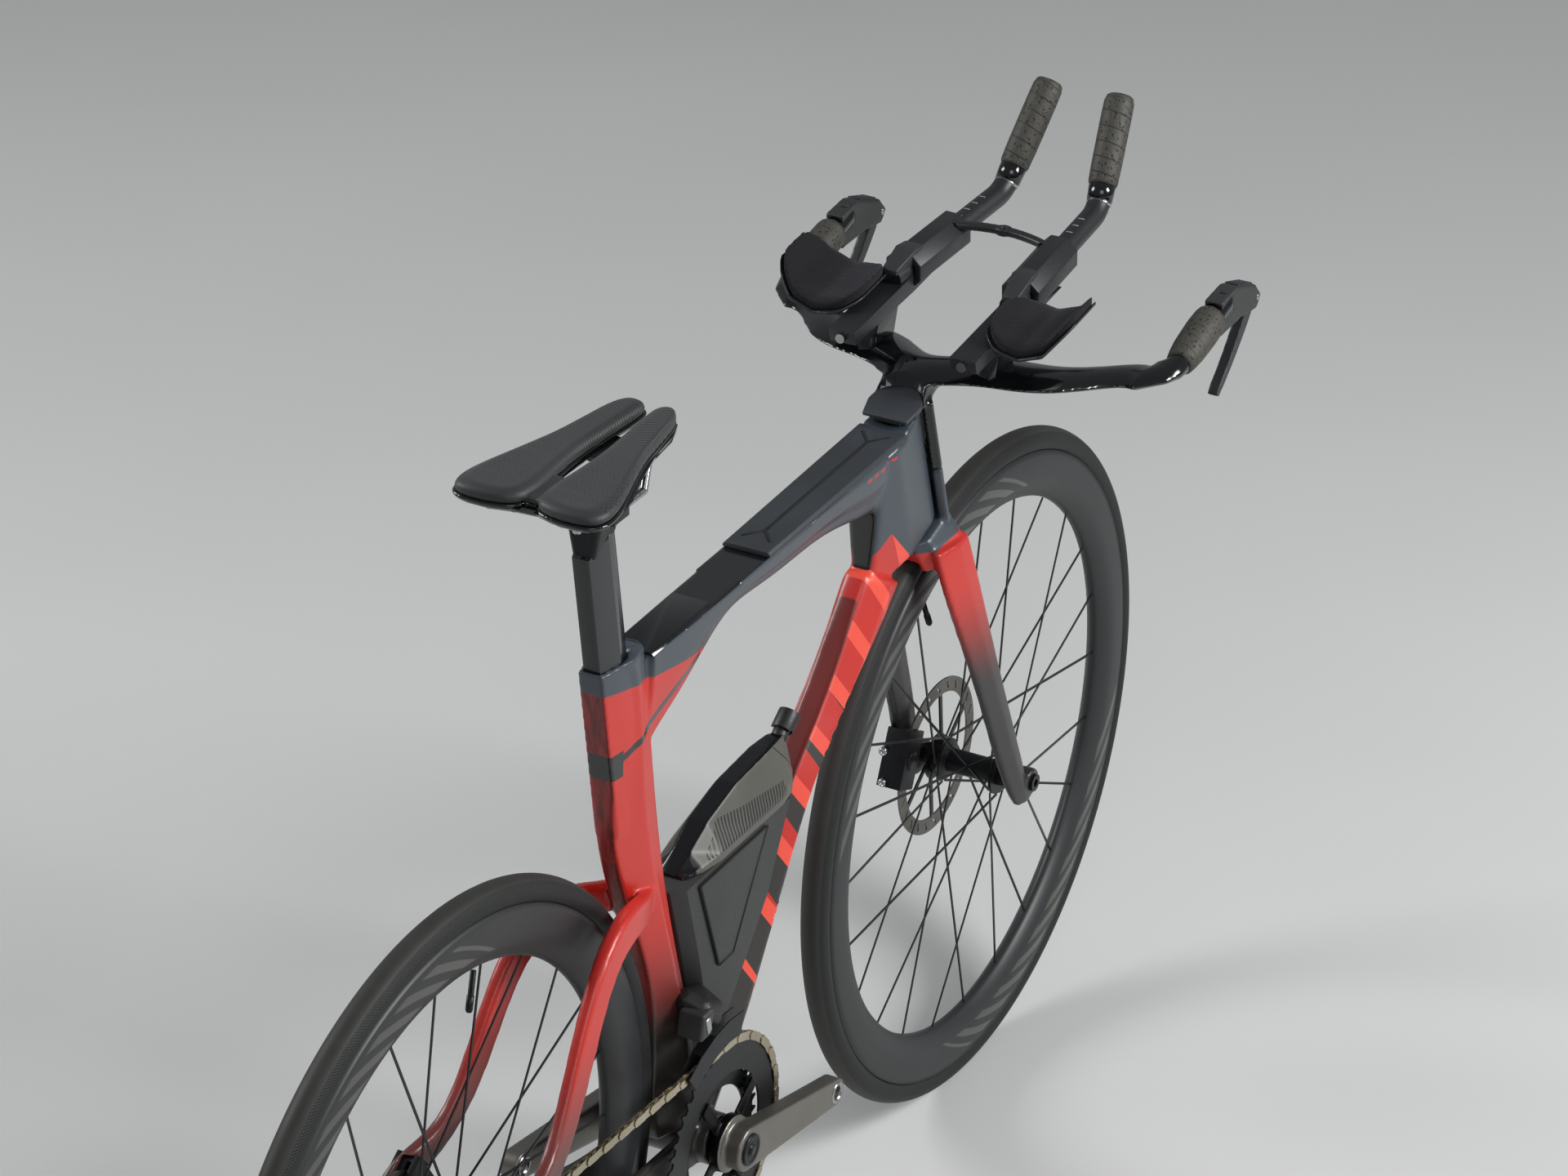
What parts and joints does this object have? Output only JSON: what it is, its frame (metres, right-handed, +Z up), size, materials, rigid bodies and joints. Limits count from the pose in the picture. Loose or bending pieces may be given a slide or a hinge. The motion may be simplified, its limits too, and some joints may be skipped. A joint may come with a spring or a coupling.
{
  "type": "time trial bicycle",
  "caption": "Time trial bicycle with an aero frame, deep rims, disc brakes, a split-nose saddle, arm rests with extensions and an in-frame bottle over a storage box.",
  "frame": {"origin": "on the ground under the bike, midway between the two axles", "axes": "+X forward, +Y to the rider's left, +Z up; the drive side faces -Y"},
  "size_m": [1.656, 0.4273, 0.988],
  "materials": {
    "slate_paint": "satin",
    "red_paint": "satin",
    "black_lacquer": "gloss",
    "black_satin": "satin",
    "dark_grey_plastic": "satin",
    "grey_metal": "satin",
    "bright_steel": "brushed",
    "gold_steel": "polished",
    "tyre_rubber": "matte",
    "soft_rubber": "matte",
    "pad_foam": "matte",
    "saddle_cover": "matte",
    "grip_wrap": "matte",
    "bottle_plastic": "satin"
  },
  "bodies": {
    "frame": {"head_tube": "slate_paint", "top_tube": "slate_paint", "down_tube": "red_paint", "seat_tube": "red_paint", "bottom_bracket_shell": "slate_paint", "seat_stays": "red_paint", "chain_stays": "slate_paint", "frame_bearings": "bright_steel", "storage_lid": "soft_rubber", "top_tube_plate": "black_lacquer", "seat_clamp": "grey_metal", "storage_box": "dark_grey_plastic", "rear_axle": "grey_metal", "rear_caliper": "grey_metal", "front_derailleur_body": "grey_metal", "chain": "gold_steel"},
    "seatpost": {"seatpost": "black_lacquer", "saddle_clamp": "grey_metal", "saddle_rails": "bright_steel", "saddle_shell": "black_lacquer", "saddle_pad": "saddle_cover"},
    "bottle": {"bottle": "bottle_plastic"},
    "spout": {"bottle_spout": "black_satin"},
    "door": {"storage_door": "dark_grey_plastic"},
    "fork": {"fork": "red_paint", "front_axle": "grey_metal", "front_caliper": "grey_metal", "base_bar": "black_lacquer", "stem_cap": "soft_rubber", "risers": "black_lacquer", "extension_clamps": "black_satin", "extension_bridge": "black_lacquer", "extensions": "black_satin", "grip_tape": "grip_wrap", "arm_cups": "black_satin", "arm_pads": "pad_foam", "lever_bodies": "dark_grey_plastic", "cockpit_bolts": "bright_steel"},
    "lever_left": {"brake_lever_left": "black_satin"},
    "lever_right": {"brake_lever_right": "black_satin"},
    "front_wheel": {"front_hub": "black_satin", "front_spokes": "black_satin", "front_rim": "black_satin", "front_tyre": "tyre_rubber", "front_rotor": "bright_steel"},
    "rear_wheel": {"rear_hub": "black_satin", "rear_spokes": "black_satin", "rear_rim": "black_satin", "rear_tyre": "tyre_rubber", "rear_rotor": "bright_steel", "cassette": "bright_steel"},
    "crank": {"crank_arm_right": "grey_metal", "crank_arm_left": "grey_metal", "chainring_outer": "black_satin", "chainring_inner": "black_satin"},
    "rear_derailleur": {"rear_derailleur_body": "grey_metal"},
    "cage": {"derailleur_cage": "black_satin"},
    "guide_pulley": {"guide_pulley": "black_satin"},
    "tension_pulley": {"tension_pulley": "black_satin"},
    "front_derailleur": {"front_derailleur_cage": "grey_metal"}
  },
  "joints": [
    {"name": "steering", "type": "hinge", "parent": "frame", "child": "fork", "pos_m": [0.34191, 0, 0.668], "axis": [-0.3007, 0, 0.9537], "range_deg": [-40, 40]},
    {"name": "front_wheel_spin", "type": "hinge", "parent": "fork", "child": "front_wheel", "pos_m": [0.49, 0, 0.338], "axis": [0, 1, 0], "continuous": true},
    {"name": "rear_wheel_spin", "type": "hinge", "parent": "frame", "child": "rear_wheel", "pos_m": [-0.49, 0, 0.338], "axis": [0, 1, 0], "continuous": true, "deforming": ["chain"]},
    {"name": "crank_spin", "type": "hinge", "parent": "frame", "child": "crank", "pos_m": [-0.093, 0, 0.254], "axis": [0, 1, 0], "continuous": true, "deforming": ["chain"]},
    {"name": "rear_derailleur_shift", "type": "slide", "parent": "frame", "child": "rear_derailleur", "axis": [0, 1, 0], "range_m": [-0.021, 0.0175], "deforming": ["chain"]},
    {"name": "derailleur_cage_swing", "type": "hinge", "parent": "rear_derailleur", "child": "cage", "pos_m": [-0.482, 0, 0.249], "axis": [0, 1, 0], "range_deg": [-25, 25], "stiffness_Nm_per_rad": 0.6, "deforming": ["chain"]},
    {"name": "guide_pulley_spin", "type": "hinge", "parent": "cage", "child": "guide_pulley", "pos_m": [-0.482, 0, 0.249], "axis": [0, 1, 0], "continuous": true, "deforming": ["chain"]},
    {"name": "tension_pulley_spin", "type": "hinge", "parent": "cage", "child": "tension_pulley", "pos_m": [-0.44337, 0, 0.18355], "axis": [0, 1, 0], "continuous": true, "deforming": ["chain"]},
    {"name": "front_derailleur_shift", "type": "slide", "parent": "frame", "child": "front_derailleur", "axis": [0, 1, 0], "range_m": [0, 0.007], "deforming": ["chain"]},
    {"name": "brake_lever_left_squeeze", "type": "hinge", "parent": "fork", "child": "lever_left", "pos_m": [0.63522, 0.197, 0.82648], "axis": [0, 1, 0], "range_deg": [0, 22], "stiffness_Nm_per_rad": 0.8},
    {"name": "brake_lever_right_squeeze", "type": "hinge", "parent": "fork", "child": "lever_right", "pos_m": [0.63522, -0.197, 0.82648], "axis": [0, 1, 0], "range_deg": [0, 22], "stiffness_Nm_per_rad": 0.8},
    {"name": "seatpost_height", "type": "slide", "parent": "frame", "child": "seatpost", "axis": [-0.165, 0, 0.9863], "range_m": [-0.03, 0.045]},
    {"name": "bottle_pull", "type": "slide", "parent": "frame", "child": "bottle", "axis": [0, -1, 0], "range_m": [0, 0.09]},
    {"name": "spout_pull", "type": "slide", "parent": "bottle", "child": "spout", "axis": [0.8192, 0, 0.5736], "range_m": [0, 0.004]},
    {"name": "storage_door_swing", "type": "hinge", "parent": "frame", "child": "door", "pos_m": [-0.10065, -0.02515, 0.51302], "axis": [0.341, 0, -0.9401], "range_deg": [0, 100]}
  ],
  "couplings": [
    {"joint": "crank_spin", "follows": "rear_wheel_spin", "ratio": 0.33333},
    {"joint": "guide_pulley_spin", "follows": "rear_wheel_spin", "ratio": -1.3333},
    {"joint": "tension_pulley_spin", "follows": "rear_wheel_spin", "ratio": 1.3333}
  ]
}
